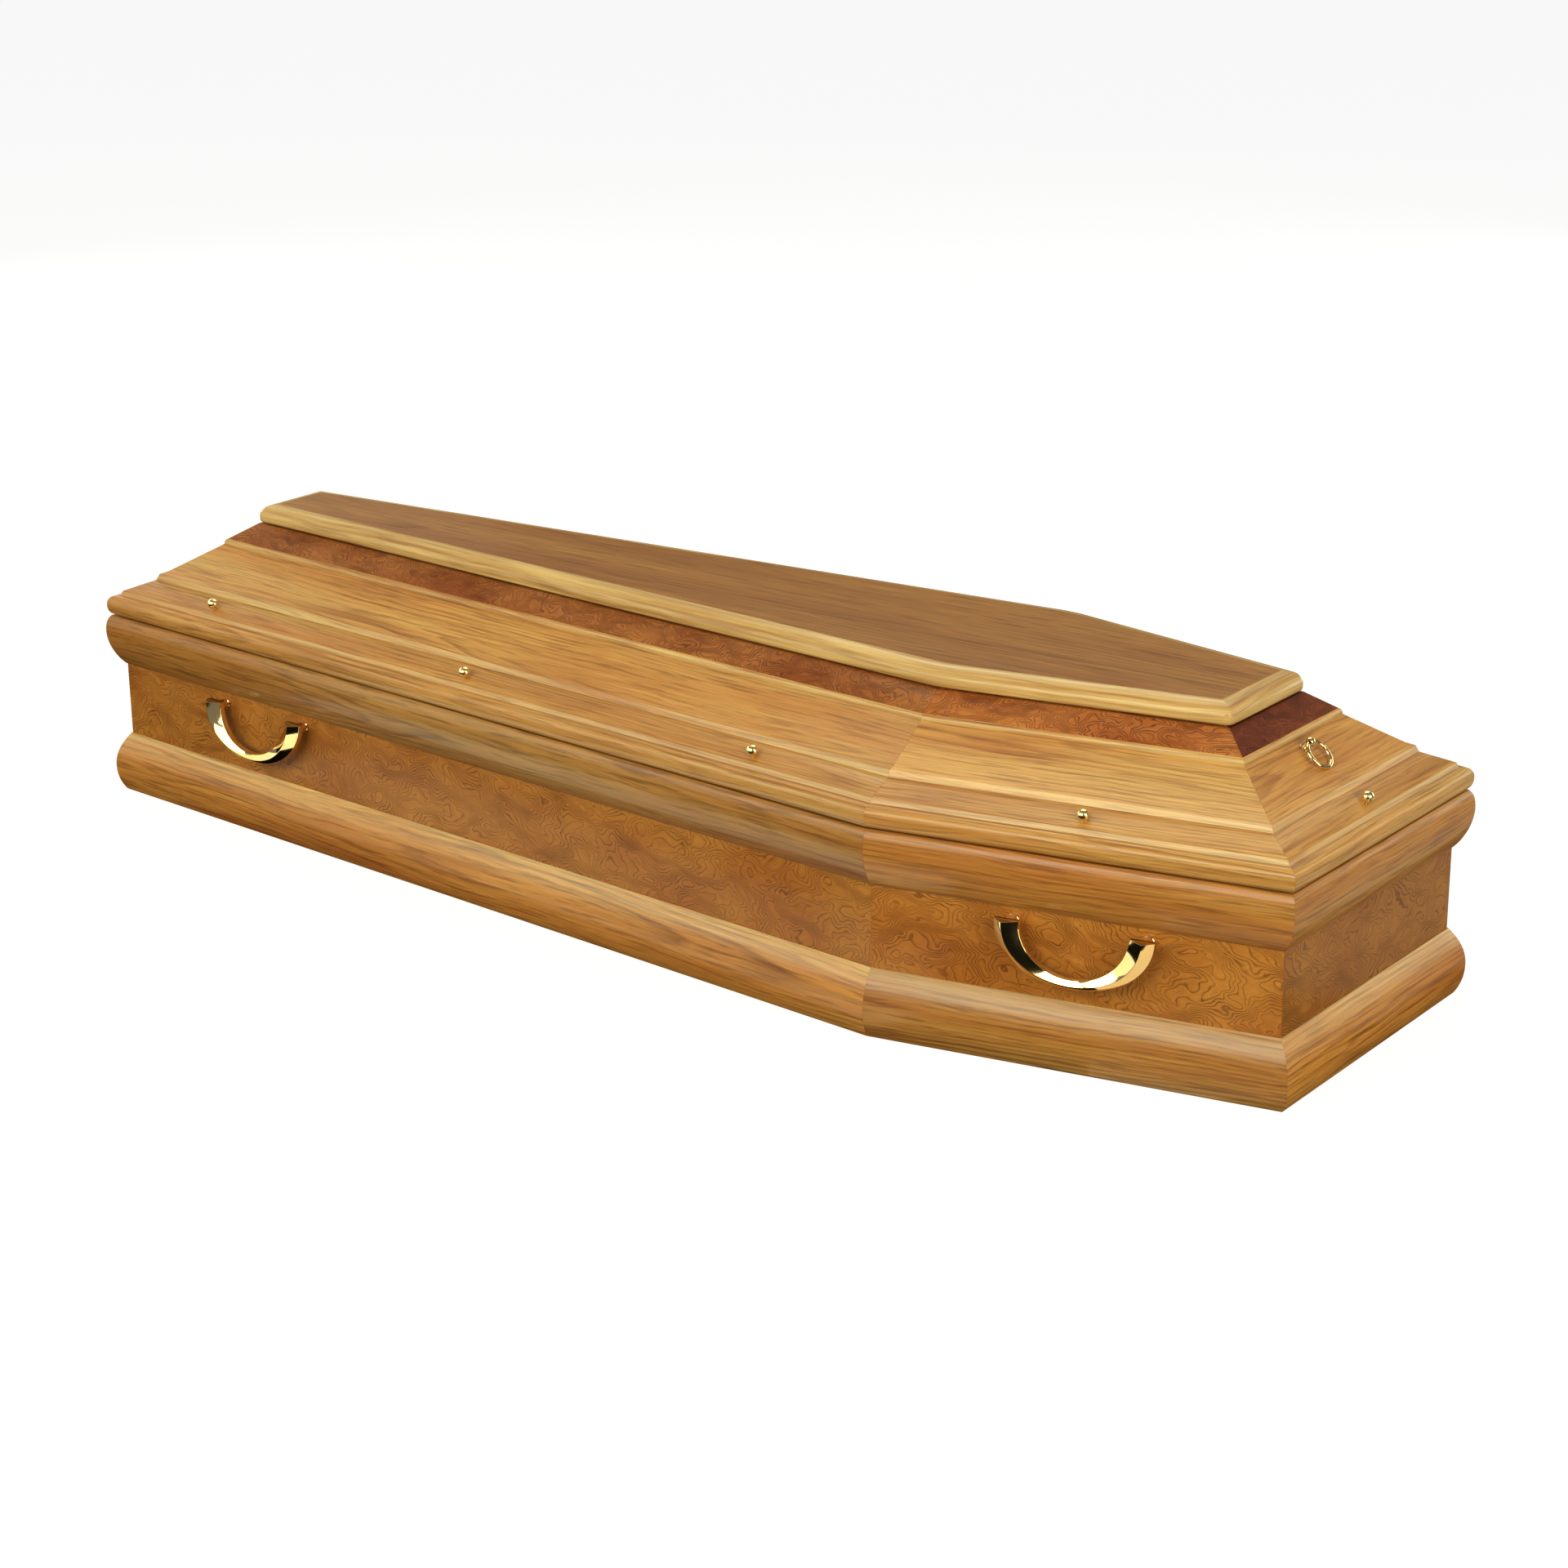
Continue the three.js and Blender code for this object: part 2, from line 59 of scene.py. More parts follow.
CASE_HEIGHT = 272
BOARD = 25
BASE_TOP = 88
RIM_BOTTOM = 197
SEAT_Z = CASE_HEIGHT + GAP

# Steps of the lid, as (offset from the case's outer faces, height)
SHELF_Z = 301.6
RISER_TOP = (-0.4, 308)
LOWER_TOP = (-37.4, 323.4)
STRIP_TOP = (-41, 331.9)
SLOPE_FOOT = (-51.1, 335.9)
SLOPE_TOP = (-112.6, 374.5)
BEAD_TOP = (-117.1, 382.3)
FRIEZE_FOOT = (-117.35, 382.46)
FRIEZE_TOP = (-154.8, 406.7)
TOP_BOARD_Z = FRIEZE_TOP[1] + GAP
TOP_BOARD_NOSE = -149.4

# Camera, placed as the photograph was taken: angles in degrees, lens and sensor in millimetres
CAMERA_PLACE = (2.63773, -3.37169, 1.61773)
CAMERA_AZIMUTH = 37.0395
CAMERA_ELEVATION = 19.0022
CAMERA_ROLL = -0.4649
CAMERA_LENS = 75.703
SENSOR_WIDTH = 36


def add_camera():
    azimuth = math.radians(CAMERA_AZIMUTH)
    elevation = math.radians(CAMERA_ELEVATION)
    roll = math.radians(CAMERA_ROLL)
    back = Vector((
        math.sin(azimuth) * math.cos(elevation),
        -math.cos(azimuth) * math.cos(elevation),
        math.sin(elevation),
    ))
    right = Vector((0, 0, 1)).cross(back).normalized()
    up = back.cross(right)
    turned_right = math.cos(roll) * right + math.sin(roll) * up
    turned_up = -math.sin(roll) * right + math.cos(roll) * up
    data = bpy.data.cameras.new("camera")
    data.sensor_width = SENSOR_WIDTH
    data.lens = CAMERA_LENS
    data.clip_end = 100
    camera = bpy.data.objects.new("camera", data)
    bpy.context.scene.collection.objects.link(camera)
    axes = Matrix((turned_right, turned_up, back)).transposed().to_4x4()
    camera.matrix_world = Matrix.Translation(CAMERA_PLACE) @ axes
    bpy.context.scene.camera = camera


add_camera()


# Plan helpers. Corner k lies between side k - 1 and side k.
def along(side):
    return (CORNERS[(side + 1) % 6] - CORNERS[side]).normalized()


def side_length(side):
    return (CORNERS[(side + 1) % 6] - CORNERS[side]).length


def mitre(corner):
    """The way that a corner moves for each millimetre of offset, and the cosine of half its turn."""
    before, after = along((corner + 5) % 6), along(corner)
    bisector = Vector((before.y + after.y, -before.x - after.x)).normalized()
    cos_half = math.cos(math.acos(before.dot(after)) / 2)
    return bisector / cos_half, cos_half


def corner_at(corner, offset):
    return CORNERS[corner % 6] + mitre(corner % 6)[0] * offset


# Profile helpers, on lists of (offset, height) points
def bezier(p0, p1, p2, p3, steps):
    points = []
    for i in range(1, steps + 1):
        t = i / steps
        a, b, c, d = (1 - t) ** 3, 3 * t * (1 - t) ** 2, 3 * t * t * (1 - t), t ** 3
        points.append(tuple(a * u + b * v + c * w + d * x for u, v, w, x in zip(p0, p1, p2, p3)))
    return points


def quadratic(p0, p1, p2, steps):
    points = []
    for i in range(1, steps + 1):
        t = i / steps
        a, b, c = (1 - t) ** 2, 2 * t * (1 - t), t * t
        points.append(tuple(a * u + b * v + c * w for u, v, w in zip(p0, p1, p2)))
    return points


def running_lengths(points):
    lengths = [0.0]
    for a, b in zip(points, points[1:]):
        lengths.append(lengths[-1] + math.dist(a, b))
    return lengths


def soften(points, radius, least_turn=25, steps=3):
    """Rounds each corner of a closed profile that turns more than least_turn degrees."""
    result = []
    count = len(points)
    for i, point in enumerate(points):
        here = Vector(point)
        before = Vector(points[i - 1]) - here
        after = Vector(points[(i + 1) % count]) - here
        turn = math.pi - before.angle(after)
        if turn < math.radians(least_turn):
            result.append(tuple(point))
            continue
        cut = min(radius * math.tan(turn / 2), 0.45 * before.length, 0.45 * after.length)
        start = here + before.normalized() * cut
        end = here + after.normalized() * cut
        result.append(tuple(start))
        result.extend(quadratic(tuple(start), tuple(here), tuple(end), steps))
    return result


def inset(points, distance):
    """Moves a counter-clockwise closed profile inwards."""
    count = len(points)
    result = []
    for i, point in enumerate(points):
        before = (Vector(point) - Vector(points[i - 1])).normalized()
        after = (Vector(points[(i + 1) % count]) - Vector(point)).normalized()
        normal = Vector((-before.y - after.y, before.x + after.x))
        normal = normal.normalized() if normal.length > 1e-6 else Vector((0, 0))
        result.append(tuple(Vector(point) + normal * distance))
    return result


# Mesh helpers
def point_vectors(mesh, name, values):
    layer = mesh.attributes.new(name, "FLOAT_VECTOR", "POINT")
    for item, value in zip(layer.data, values):
        item.vector = value


def new_piece(name, vertices, faces, grain, material, sharp=30, shade=1):
    mesh = bpy.data.meshes.new(name)
    mesh.from_pydata([Vector(v) * MM for v in vertices], [], faces)
    if grain:
        point_vectors(mesh, "grain", grain)
        point_vectors(mesh, "shade", [(shade, shade, shade)] * len(grain))
    mesh.materials.append(material)
    mesh.validate()
    builder = bmesh.new()
    builder.from_mesh(mesh)
    bmesh.ops.recalc_face_normals(builder, faces=builder.faces)
    builder.to_mesh(mesh)
    builder.free()
    mesh.shade_smooth()
    mesh.set_sharp_from_angle(angle=math.radians(sharp))
    piece = bpy.data.objects.new(name, mesh)
    bpy.context.scene.collection.objects.link(piece)
    return piece


def take_place(piece, node, body="coffin"):
    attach(piece, body)
    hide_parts(node)


def loft(loops, caps=True):
    """Quads between closed loops of equal length, with a face over each end."""
    count = len(loops[0])
    vertices = [point for loop in loops for point in loop]
    faces = []
    for k in range(len(loops) - 1):
        low, high = k * count, (k + 1) * count
        for i in range(count):
            j = (i + 1) % count
            faces.append((low + i, low + j, high + j, high + i))
    if caps:
        faces.append(tuple(range(count))[::-1])
        faces.append(tuple((len(loops) - 1) * count + i for i in range(count)))
    return vertices, faces


EDGE_EASE = 0.15
MITRE_GAP = 0.1

# Metres of grain between one strip and the next, so that no two are cut from the same place
GRAIN_STEP = 7.3


def strip(name, side, profile, material, heart, depth, seed, shade=1, highlight_of=None):
    """A strip along one side, mitred at both ends, with its ends' edges eased.
    heart is where on the profile the middle of the grain lies, and depth is how far below it.
    highlight_of gives how much of a painted cream highlight the face between two points of the profile
    takes, from 0 to 1."""
    direction = along(side)
    tight = inset(profile, EDGE_EASE)
    reach = running_lengths(profile)
    loops, grain = [], []
    stations = [(0, tight, 0), (0, profile, EDGE_EASE), (1, profile, -EDGE_EASE), (1, tight, 0)]
    for end, points, shift in stations:
        corner = (side + end) % 6
        cut = MITRE_GAP / 2 / mitre(corner)[1] * (1 if end == 0 else -1)
        loop = []
        for (offset, height), around in zip(points, reach):
            plan = corner_at(corner, offset) + direction * (cut + shift)
            loop.append((plan.x, plan.y, height))
            run = (plan - CORNERS[side]).dot(direction)
            grain.append((run * MM + GRAIN_STEP * seed, (around - heart) * MM, depth * MM))
        loops.append(loop)
    vertices, faces = loft(loops)
    piece = new_piece(name, vertices, faces, grain, material, shade=shade)
    if highlight_of:
        paint_highlight(piece.data, profile, highlight_of)
    return piece


def paint_highlight(mesh, profile, highlight_of):
    """Writes how much painted cream highlight each face of a strip takes. The faces of its ends stay as
    they are.
    """
    count = len(profile)
    layer = mesh.attributes.new("painted_highlight", "FLOAT_VECTOR", "CORNER")
    for face in mesh.polygons:
        if len(face.vertices) != 4:
            continue
        low, high = sorted({index % count for index in face.vertices})
        if (low, high) == (0, count - 1):
            low, high = high, low
        share = highlight_of(profile[low], profile[high])
        for loop in face.loop_indices:
            layer.data[loop].vector = (share, share, share)


# Node graph helpers
def linear(red, green, blue):
    """A colour given in the screen's values of 0 to 255, as the shader takes it."""
    def channel(value):
        value /= 255
        return value / 12.92 if value <= 0.04045 else ((value + 0.055) / 1.055) ** 2.4
    return (channel(red), channel(green), channel(blue), 1)


class Graph:
    """A material's nodes, made one call at a time. Each call gives the socket that it ends in."""
    def __init__(self, name):
        self.material = bpy.data.materials.new(name)
        self.material.use_nodes = True
        self.tree = self.material.node_tree
        self.tree.nodes.clear()
        self.output = self.tree.nodes.new("ShaderNodeOutputMaterial")
        self.shader = self.tree.nodes.new("ShaderNodeBsdfPrincipled")
        self.tree.links.new(self.shader.outputs[0], self.output.inputs[0])

    def put(self, socket, value):
        if isinstance(value, bpy.types.NodeSocket):
            self.tree.links.new(value, socket)
        elif value is not None:
            socket.default_value = value

    def math(self, operation, a, b=None, c=None, clamp=False):
        node = self.tree.nodes.new("ShaderNodeMath")
        node.operation = operation
        node.use_clamp = clamp
        for socket, value in zip(node.inputs, (a, b, c)):
            self.put(socket, value)
        return node.outputs[0]

    def attribute(self, name):
        node = self.tree.nodes.new("ShaderNodeAttribute")
        node.attribute_name = name
        return node.outputs["Vector"]

    def split(self, vector):
        node = self.tree.nodes.new("ShaderNodeSeparateXYZ")
        self.put(node.inputs[0], vector)
        return node.outputs[0], node.outputs[1], node.outputs[2]

    def join(self, x, y, z):
        node = self.tree.nodes.new("ShaderNodeCombineXYZ")
        for socket, value in zip(node.inputs, (x, y, z)):
            self.put(socket, value)
        return node.outputs[0]

    def length(self, a, b):
        squares = self.math("ADD", self.math("MULTIPLY", a, a), self.math("MULTIPLY", b, b))
        return self.math("SQRT", squares)

    def scaled(self, vector, factors):
        node = self.tree.nodes.new("ShaderNodeVectorMath")
        node.operation = "MULTIPLY"
        self.put(node.inputs[0], vector)
        self.put(node.inputs[1], factors)
        return node.outputs[0]

    def noise(self, vector, factors, detail=2.0, roughness=0.5):
        """Noise from 0 to 1, with factors as cycles for each metre of the vector."""
        node = self.tree.nodes.new("ShaderNodeTexNoise")
        self.put(node.inputs["Vector"], self.scaled(vector, factors))
        node.inputs["Scale"].default_value = 1
        node.inputs["Detail"].default_value = detail
        node.inputs["Roughness"].default_value = roughness
        return node.outputs["Fac"]

    def ramp(self, value, stops):
        node = self.tree.nodes.new("ShaderNodeValToRGB")
        elements = node.color_ramp.elements
        while len(elements) < len(stops):
            elements.new(0.5)
        for element, (position, level) in zip(elements, stops):
            element.position = position
            element.color = (level, level, level, 1)
        self.put(node.inputs[0], value)
        return node.outputs[0]

    def remap(self, value, low, high, to_low, to_high):
        node = self.tree.nodes.new("ShaderNodeMapRange")
        self.put(node.inputs["Value"], value)
        for key, level in (("From Min", low), ("From Max", high), ("To Min", to_low), ("To Max", to_high)):
            node.inputs[key].default_value = level
        return node.outputs[0]

    def mix(self, share, a, b, blend="MIX"):
        node = self.tree.nodes.new("ShaderNodeMix")
        node.data_type = "RGBA"
        node.blend_type = blend
        self.put(node.inputs["Factor"], share)
        self.put(node.inputs["A"], a)
        self.put(node.inputs["B"], b)
        return node.outputs["Result"]

    def bump(self, height, strength, distance):
        node = self.tree.nodes.new("ShaderNodeBump")
        node.inputs["Strength"].default_value = strength
        node.inputs["Distance"].default_value = distance
        self.put(node.inputs["Height"], height)
        self.put(self.shader.inputs["Normal"], node.outputs[0])


# Wood and brass. The grain attribute is metres along the board, across it, and below its face.
LACQUER = 0.2
RINGS_PER_METRE = 190


def multiply(g, colour, level):
    return g.mix(1, colour, g.join(level, level, level), "MULTIPLY")


def oak(name, light, dark, red, pale, painted_highlight):
    """Straight-grained oak: streaks along the run, and arched growth rings where the cut is flat."""
    g = Graph(name)
    grain = g.attribute("grain")
    x, y, z = g.split(grain)
    sway = g.math("SUBTRACT", g.noise(grain, (0.9, 6, 0), 2), 0.5)
    ripple = g.math("SUBTRACT", g.noise(grain, (5, 14, 0), 2), 0.5)
    wander = g.math("SUBTRACT", g.noise(grain, (0.8, 0.8, 0), 1), 0.5)
    bent = g.math("MULTIPLY_ADD", ripple, 0.012, g.math("MULTIPLY_ADD", sway, 0.05, y))
    below = g.math("MULTIPLY_ADD", wander, 0.09, z)
    radius = g.length(bent, below)
    run = g.join(x, bent, z)
    waver = g.noise(run, (2.2, 42, 0), 3, 0.55)
    rings = g.math("MULTIPLY_ADD", radius, RINGS_PER_METRE, g.math("MULTIPLY", waver, 1.5))
    ring = g.ramp(g.math("FRACT", rings), [(0, 0.05), (0.5, 0.2), (0.86, 1), (0.94, 0.4), (1, 0.05)])
    patch = g.remap(g.noise(run, (1.6, 16, 0), 2), 0.38, 0.62, 0.1, 1)
    streak = g.remap(g.noise(run, (3.2, 95, 0), 5, 0.68), 0.37, 0.63, 0, 1)
    hair = g.ramp(g.noise(run, (9, 230, 0), 3, 0.6), [(0.51, 0), (0.62, 1)])
    fibre = g.noise(run, (9, 420, 0), 4, 0.6)
    pore = g.ramp(g.noise(run, (34, 1500, 0), 2, 0.6), [(0.3, 1), (0.42, 0)])
    tone = g.remap(g.noise(run, (1.1, 9, 0), 3), 0.38, 0.64, 0, 1)
    sap = g.remap(g.noise(g.join(x, bent, 4), (0.9, 15, 1), 3), 0.5, 0.66, 0, 0.5)
    colour = g.mix(g.math("MULTIPLY_ADD", tone, 0.55, g.math("MULTIPLY", streak, 0.4)), light, red)
    colour = g.mix(sap, colour, pale)
    colour = g.mix(g.math("MULTIPLY", g.math("MULTIPLY", ring, patch), 0.6), colour, dark)
    colour = g.mix(g.math("MULTIPLY", hair, 0.5), colour, dark)
    colour = multiply(g, colour, g.remap(fibre, 0.3, 0.7, 0.8, 1.18))
    colour = g.mix(g.math("MULTIPLY", pore, 0.25), colour, dark)
    # Painted highlight: the attribute's share mixes in the highlight colour, broken up along the streaks
    share = g.split(g.attribute("painted_highlight"))[0]
    frayed = g.math("MULTIPLY", share, g.math("MULTIPLY_ADD", streak, -0.75, 0.95))
    colour = g.mix(frayed, colour, painted_highlight)
    # The board's own tone and its side's painted light and shade, from the shade attribute
    colour = g.mix(1, colour, g.attribute("shade"), "MULTIPLY")
    g.put(g.shader.inputs["Base Color"], colour)
    g.put(g.shader.inputs["Roughness"], g.remap(fibre, 0.3, 0.7, 0.33, 0.43))
    g.shader.inputs["Specular IOR Level"].default_value = 0.3
    g.shader.inputs["Coat Weight"].default_value = LACQUER
    g.shader.inputs["Coat Roughness"].default_value = 0.14
    g.bump(g.math("SUBTRACT", fibre, g.math("MULTIPLY", pore, 0.6)), 0.10, 0.0004)
    return g.material


def burr(name, base, dark, pale, lines=46, size=7.5):
    """Burr veneer: the level lines of a hilly height field, each about a millimetre wide.
    lines is how many there are from the lowest place to the highest, and size the hills a metre."""
    g = Graph(name)
    x, y = g.split(g.attribute("grain"))[:2]
    flat = g.join(x, y, 0)
    wide = g.math("SUBTRACT", g.noise(flat, (15, 20, 0), 2), 0.5)
    tall = g.math("SUBTRACT", g.noise(g.join(x, y, 5), (15, 20, 1), 2), 0.5)
    kink_x = g.math("SUBTRACT", g.noise(flat, (70, 80, 0), 2), 0.5)
    kink_y = g.math("SUBTRACT", g.noise(g.join(x, y, 9), (70, 80, 1), 2), 0.5)
    swirl_x = g.math("ADD", g.math("MULTIPLY_ADD", wide, 0.07, x), g.math("MULTIPLY", kink_x, 0.004))
    swirl_y = g.math("ADD", g.math("MULTIPLY_ADD", tall, 0.05, y), g.math("MULTIPLY", kink_y, 0.004))
    step = 0.0006

    def field(shift_x, shift_y):
        place = g.join(g.math("ADD", swirl_x, shift_x), g.math("ADD", swirl_y, shift_y), 3.7)
        return g.noise(place, (size, size * 1.7, 1), 2.2, 0.48)

    middle = field(0, 0)
    rise_x = g.math("SUBTRACT", field(step, 0), middle)
    rise_y = g.math("SUBTRACT", field(0, step), middle)
    steep = g.length(rise_x, rise_y)
    part = g.math("FRACT", g.math("MULTIPLY", middle, lines))
    nearest = g.math("MINIMUM", part, g.math("SUBTRACT", 1, part))
    per_step = g.math("MAXIMUM", g.math("MULTIPLY", steep, lines), 0.0001)
    steps_away = g.math("DIVIDE", nearest, per_step)
    line = g.ramp(g.math("MULTIPLY", steps_away, 0.25), [(0, 1), (0.13, 0.9), (0.36, 0.12), (0.65, 0)])
    strength = g.remap(g.noise(flat, (18, 24, 0), 2), 0.35, 0.62, 0.5, 1)
    broad = g.remap(g.noise(flat, (6, 10, 0), 3), 0.36, 0.66, 0, 1)
    fibre = g.noise(g.join(swirl_x, swirl_y, 0), (140, 420, 0), 3, 0.6)
    colour = g.mix(broad, base, pale)
    colour = g.mix(g.math("MULTIPLY", part, 0.22), colour, dark)
    colour = g.mix(g.math("MULTIPLY", g.math("MULTIPLY", line, strength), 0.7), colour, dark)
    colour = multiply(g, colour, g.remap(fibre, 0.3, 0.7, 0.88, 1.12))
    # The board's own tone and its side's painted light and shade, from the shade attribute
    colour = g.mix(1, colour, g.attribute("shade"), "MULTIPLY")
    g.put(g.shader.inputs["Base Color"], colour)
    g.put(g.shader.inputs["Roughness"], g.remap(fibre, 0.3, 0.7, 0.34, 0.44))
    g.shader.inputs["Specular IOR Level"].default_value = 0.12
    g.shader.inputs["Coat Weight"].default_value = LACQUER
    g.shader.inputs["Coat Roughness"].default_value = 0.18
    g.bump(g.math("SUBTRACT", fibre, g.math("MULTIPLY", line, 0.5)), 0.08, 0.0004)
    return g.material


def bare_wood(name):
    """Pale wood without lacquer, for the inside and the edges."""
    g = Graph(name)
    place = g.tree.nodes.new("ShaderNodeTexCoord").outputs["Object"]
    y = g.split(place)[1]
    waver = g.noise(place, (1.5, 24, 24), 3)
    ring = g.ramp(g.math("FRACT", g.math("MULTIPLY_ADD", y, 60, g.math("MULTIPLY", waver, 4))),
                  [(0, 0.1), (0.8, 0.8), (1, 0.1)])
    fibre = g.noise(place, (10, 400, 400), 3)
    colour = g.mix(g.math("MULTIPLY", ring, 0.4), linear(214, 186, 142), linear(176, 140, 92))
    colour = multiply(g, colour, g.remap(fibre, 0.3, 0.7, 0.88, 1.08))
    g.put(g.shader.inputs["Base Color"], colour)
    g.shader.inputs["Roughness"].default_value = 0.72
    g.bump(fibre, 0.12, 0.0004)
    return g.material


def brass(name, sharpest, dullest):
    """Polished brass, its roughness clouded between two values."""
    g = Graph(name)
    place = g.tree.nodes.new("ShaderNodeTexCoord").outputs["Object"]
    cloud = g.noise(place, (30, 30, 30), 3)
    colour = g.mix(g.remap(cloud, 0.3, 0.7, 0, 1), linear(242, 217, 160), linear(233, 198, 132))
    g.put(g.shader.inputs["Base Color"], colour)
    g.put(g.shader.inputs["Roughness"], g.remap(cloud, 0.3, 0.7, sharpest, dullest))
    g.shader.inputs["Metallic"].default_value = 1
    return g.material


# The colour of the painted cream highlight on the lid's and the case's oak
CREAM_HIGHLIGHT = linear(226, 208, 152)
oak_lid = oak("oak_honey", light=linear(199, 147, 75), dark=linear(114, 60, 21),
              red=linear(168, 101, 43), pale=linear(204, 168, 98), painted_highlight=CREAM_HIGHLIGHT)
# The rim's and the base's oak are the lid's wood coloured darker: painted shade for the upright mouldings
# below the lit slopes
oak_rim = oak("oak_rim", light=linear(178, 120, 52), dark=linear(86, 40, 12),
              red=linear(152, 86, 31), pale=linear(188, 146, 76), painted_highlight=CREAM_HIGHLIGHT)
oak_base = oak("oak_base", light=linear(190, 130, 57), dark=linear(88, 40, 11),
               red=linear(152, 83, 30), pale=linear(200, 153, 80), painted_highlight=CREAM_HIGHLIGHT)
# The top board's oak; its last colour is the band's painted cream highlight.
oak_top = oak("oak_top", light=linear(163, 109, 48), dark=linear(94, 47, 16),
              red=linear(142, 84, 32), pale=linear(172, 119, 57), painted_highlight=linear(202, 166, 104))
burr_case = burr("burr_case", base=linear(154, 89, 31), dark=linear(74, 30, 8),
                 pale=linear(174, 112, 46))
burr_frieze = burr("burr_frieze", base=linear(150, 79, 33), dark=linear(62, 20, 7),
                   pale=linear(182, 112, 57), lines=38, size=12.5)
burr_frieze_dark = burr("burr_frieze_dark", base=linear(102, 40, 15), dark=linear(32, 7, 2),
                        pale=linear(130, 60, 27), lines=38, size=13)
inside_wood = bare_wood("wood_bare")
brass_polished = brass("brass_polished", sharpest=0.05, dullest=0.1)
brass_satin = brass("brass_satin", sharpest=0.2, dullest=0.28)


# How light each board is beside the others of its kind, by the last word of its side's name: partly each
# board's own tone, partly painted light and shade that lighten or darken whole sides
SHADES = {
    "case_board": {"leg": 0.95, "head": 1.03, "end": 0.84},
    "case_rim": {"leg": 0.8, "head": 1.06, "end": 1.08},
    "base_moulding": {"leg": 1.03, "head": 0.8, "end": 1.15},
    "lid_frieze": {"leg": 0.76, "head": 1, "end": 0.86},
    "lid_slope": {"leg": 0.94, "head": 1},
    "lid_frame": {"leg": 0.9, "head": 0.92, "end": 0.92},
}


def shade_of(prefix, side_name):
    return SHADES.get(prefix, {}).get(side_name.split("_")[-1], 1)


# Case
def case_boards():
    """Boards veneered on their outer faces, and bare wood inside and on their edges."""
    profile = soften([(-BOARD, 0), (0, 0), (0, CASE_HEIGHT), (-BOARD, CASE_HEIGHT)], 0.6)
    for side, name in enumerate(SIDES):
        piece = strip(f"case_board_{name}_veneered", side, profile, burr_case, 0, 0, side + 1,
                      shade_of("case_board", name))
        piece.data.materials.append(inside_wood)
        outward = Vector((along(side).y, -along(side).x, 0))
        for face in piece.data.polygons:
            if face.normal.dot(outward) < -0.5 or abs(face.normal.z) > 0.5:
                face.material_index = 1
        take_place(piece, f"case_board_{name}")


def base_profile():
    widest, proud, toe, top, back = 38, 20.5, 10.5, BASE_TOP, GAP
    points = [(back, 0), (toe, 0)]
    points += bezier((toe, 0), (proud * 0.8, widest * 0.25), (proud, widest * 0.55), (proud, widest), 14)
    points += bezier((proud, widest), (proud, widest + (top - widest) * 0.4),
                     (proud * 0.62, top - (top - widest) * 0.3), (back + 1.2, top), 18)
    return points + [(back, top)]


def rim_profile():
    proud, lip, top, back = 20.5, 13, CASE_HEIGHT, GAP
    bottom, widest = RIM_BOTTOM, CASE_HEIGHT - 24
    points = [(back, bottom), (back + 1.2, bottom)]
    points += bezier((back + 1.2, bottom), (proud * 0.55, bottom + (widest - bottom) * 0.2),
                     (proud, bottom + (widest - bottom) * 0.6), (proud, widest), 18)
    points += bezier((proud, widest), (proud, widest + 24 * 0.55), (proud * 0.85, widest + 24 * 0.85),
                     (lip, top), 12)
    return points + [(back, top)]


def frame_profile():
    """From the seat on the case: the shadow groove, the rounded nose, the riser and the lower slope."""
    lip, proud, groove, groove_height = 13, 17.6, 10, 2.2
    ledge, ledge_bottom, back_foot = 24, 311.7, 296.6
    lip_z = SEAT_Z + groove_height
    middle = (lip_z + SHELF_Z) / 2
    points = [(-BOARD, SEAT_Z), (lip - groove, SEAT_Z), (lip - groove, lip_z), (lip, lip_z)]
    points += quadratic((lip, lip_z), (proud, lip_z + (middle - lip_z) * 0.3), (proud, middle), 8)
    points += bezier((proud, middle), (proud, middle + (SHELF_Z - middle) * 0.6), (lip, SHELF_Z),
                     (6, SHELF_Z), 10)
    points += [(2, SHELF_Z), RISER_TOP, LOWER_TOP, (LOWER_TOP[0] - ledge, LOWER_TOP[1])]
    points += [(LOWER_TOP[0] - ledge, ledge_bottom), (-BOARD, back_foot)]
    return soften(points, 1.1, 30)


def slope_profile():
    """The strip at the foot, the wide slope and the bead at its top."""
    seat = LOWER_TOP[1] + GAP
    bead_crown = (SLOPE_TOP[0], BEAD_TOP[1] - 1.56)
    back_top, back_foot = (-126.67, 367.13), (-65.17, seat)
    points = [(LOWER_TOP[0], seat), STRIP_TOP, SLOPE_FOOT, SLOPE_TOP]
    points += quadratic(SLOPE_TOP, bead_crown, BEAD_TOP, 6)
    return points + [back_top, back_foot]


def frieze_profile():
    """The frieze is rebated under the top board, where the photo shows a black shadow line."""
    foot, top, rebate_height, rebate_depth = FRIEZE_FOOT, FRIEZE_TOP, 2.4, 8
    back_top, back_foot = (-177.98, top[1]), (-126.9, 367.29)
    run = (top[0] - foot[0]) / (top[1] - foot[1])
    lip = (top[0] - run * rebate_height, top[1] - rebate_height)
    inner = lip[0] - rebate_depth
    return soften([foot, lip, (inner, lip[1]), (inner, top[1]), back_top, back_foot], 0.4)


# How strong the painted cream highlights are: on the lid's risers, and on the case mouldings' upward faces
RISER_HIGHLIGHT = 0.28
FACET_HIGHLIGHT = 0.45


def riser_highlight(a, b):
    """A painted cream highlight on the narrow upright faces of the lid, where the lamps catch them."""
    upright = b[1] - a[1] > 0.9 * abs(b[0] - a[0])
    above_shelf = (a[1] + b[1]) / 2 > SHELF_Z - 0.5
    return RISER_HIGHLIGHT if upright and above_shelf else 0


